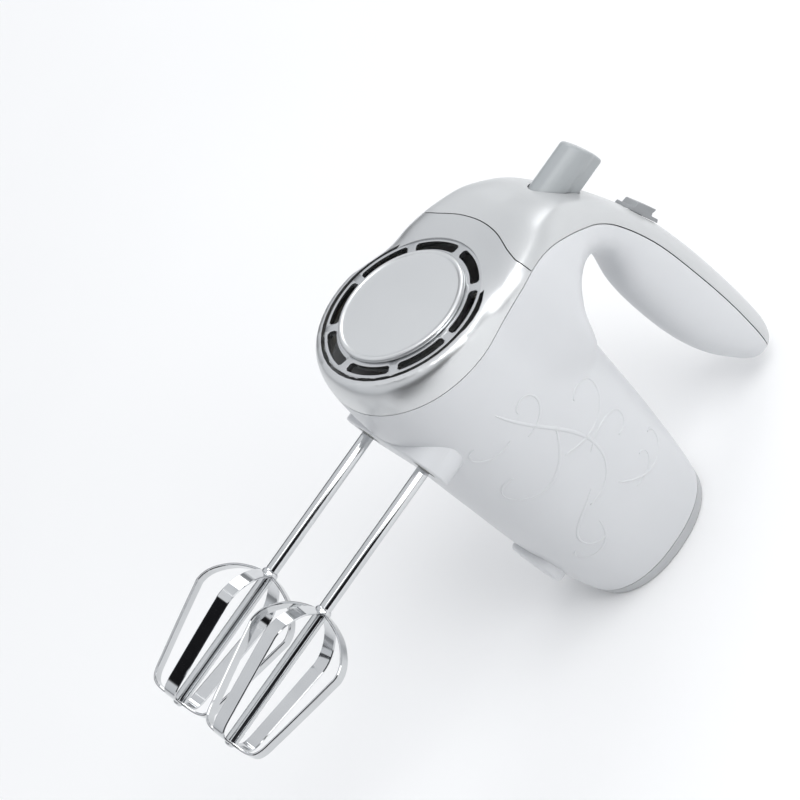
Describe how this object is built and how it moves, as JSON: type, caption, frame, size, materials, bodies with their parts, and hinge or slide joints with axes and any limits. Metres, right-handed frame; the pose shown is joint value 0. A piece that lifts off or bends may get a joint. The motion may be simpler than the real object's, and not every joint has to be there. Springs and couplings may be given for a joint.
{
  "type": "hand mixer",
  "caption": "Handheld electric kitchen mixer standing on its heel: housing with an open C-shaped handle, round vented nose, eject button, speed slider and a pair of turning wire beaters.",
  "frame": {"origin": "middle of the heel's rest face, on the motor axis", "axes": "+Z from the heel to the nose along the motor axis, +Y from the beaters up through the handle, +X to the mixer's left"},
  "size_m": [0.0916, 0.2949, 0.1976],
  "materials": {
    "housing_white": "white moulded plastic, satin",
    "cover_silver": "pale silver paint, satin",
    "badge_silver": "satin silver",
    "nose_band": "metallised plastic, smooth",
    "ring_chrome": "chrome-plated plastic",
    "heel_grey": "silver-grey paint, satin",
    "button_grey": "mid grey, satin",
    "slider_grey": "grey, satin",
    "beater_chrome": "bright chrome plating",
    "steel": "turned steel",
    "lamination": "stacked steel sheet",
    "copper": "enamelled copper",
    "bearing_brass": "plain turned",
    "die_cast": "as cast",
    "nylon": "natural nylon",
    "black_plastic": "black moulded",
    "carbon": "carbon",
    "capacitor_yellow": "yellow film case"
  },
  "bodies": {
    "housing": {"main_housing": "housing_white", "bowl_rest_foot": "housing_white", "top_cover": "cover_silver", "nose_badge": "badge_silver", "nose_cover": "nose_band", "vent_ring": "ring_chrome", "heel_cap": "heel_grey", "cord_inlet_bush": "black_plastic", "capacitor": "capacitor_yellow", "eject_spring": "steel", "switch_block": "black_plastic", "motor_stator": "lamination", "motor_rear_bracket": "die_cast", "rear_bearing": "bearing_brass", "front_bearing": "bearing_brass", "gearbox_frame": "die_cast", "gearbox_top_plate": "die_cast", "plate_screw_front": "steel", "plate_screw_rear": "steel", "heel_screw_left": "steel", "field_coil_left": "copper", "brush_holder_left": "bearing_brass", "brush_left": "carbon", "top_bush_left": "bearing_brass", "low_bush_left": "bearing_brass", "heel_screw_right": "steel", "field_coil_right": "copper", "brush_holder_right": "bearing_brass", "brush_right": "carbon", "top_bush_right": "bearing_brass", "low_bush_right": "bearing_brass"},
    "armature": {"armature_shaft": "steel", "armature_core": "lamination", "commutator": "copper", "fan": "black_plastic", "worm": "steel"},
    "eject_button": {"eject_button": "button_grey", "ejector_plate": "nylon"},
    "speed_slider": {"speed_slider": "slider_grey"},
    "spindle_left": {"spindle_gear_left": "nylon"},
    "push_pin_left": {"push_pin_left": "steel"},
    "beater_left": {"beater_shaft_left": "beater_chrome", "beater_collar_left": "beater_chrome", "beater_blade_left_1": "beater_chrome", "beater_blade_left_2": "beater_chrome", "beater_blade_left_3": "beater_chrome", "beater_blade_left_4": "beater_chrome"},
    "spindle_right": {"spindle_gear_right": "nylon"},
    "push_pin_right": {"push_pin_right": "steel"},
    "beater_right": {"beater_shaft_right": "beater_chrome", "beater_collar_right": "beater_chrome", "beater_blade_right_1": "beater_chrome", "beater_blade_right_2": "beater_chrome", "beater_blade_right_3": "beater_chrome", "beater_blade_right_4": "beater_chrome"}
  },
  "joints": [
    {"name": "motor_spin", "type": "hinge", "parent": "housing", "child": "armature", "pos_m": [0, 0, 0.0864], "axis": [0, 0, 1], "continuous": true},
    {"name": "eject_press", "type": "slide", "parent": "housing", "child": "eject_button", "axis": [0, -1, 0], "range_m": [0, 0.008], "stiffness_N_per_m": 600, "springref_m": -0.003, "deforming": ["eject_spring"]},
    {"name": "speed_slide", "type": "slide", "parent": "housing", "child": "speed_slider", "axis": [0, 0.2079, -0.9781], "range_m": [0, 0.012]},
    {"name": "left_spindle_spin", "type": "hinge", "parent": "housing", "child": "spindle_left", "pos_m": [0.0212, 0, 0.1466], "axis": [0, 1, 0], "continuous": true},
    {"name": "left_pin_push", "type": "slide", "parent": "spindle_left", "child": "push_pin_left", "axis": [0, -1, 0], "range_m": [0, 0.008]},
    {"name": "left_beater_pull", "type": "slide", "parent": "push_pin_left", "child": "beater_left", "axis": [0, -1, 0], "range_m": [0, 0.045]},
    {"name": "right_spindle_spin", "type": "hinge", "parent": "housing", "child": "spindle_right", "pos_m": [-0.0212, 0, 0.1466], "axis": [0, 1, 0], "continuous": true},
    {"name": "right_pin_push", "type": "slide", "parent": "spindle_right", "child": "push_pin_right", "axis": [0, -1, 0], "range_m": [0, 0.008]},
    {"name": "right_beater_pull", "type": "slide", "parent": "push_pin_right", "child": "beater_right", "axis": [0, -1, 0], "range_m": [0, 0.045]}
  ],
  "couplings": [
    {"joint": "left_spindle_spin", "follows": "motor_spin", "ratio": -0.035714},
    {"joint": "left_pin_push", "follows": "eject_press", "ratio": 1},
    {"joint": "right_spindle_spin", "follows": "motor_spin", "ratio": 0.035714},
    {"joint": "right_pin_push", "follows": "eject_press", "ratio": 1}
  ]
}
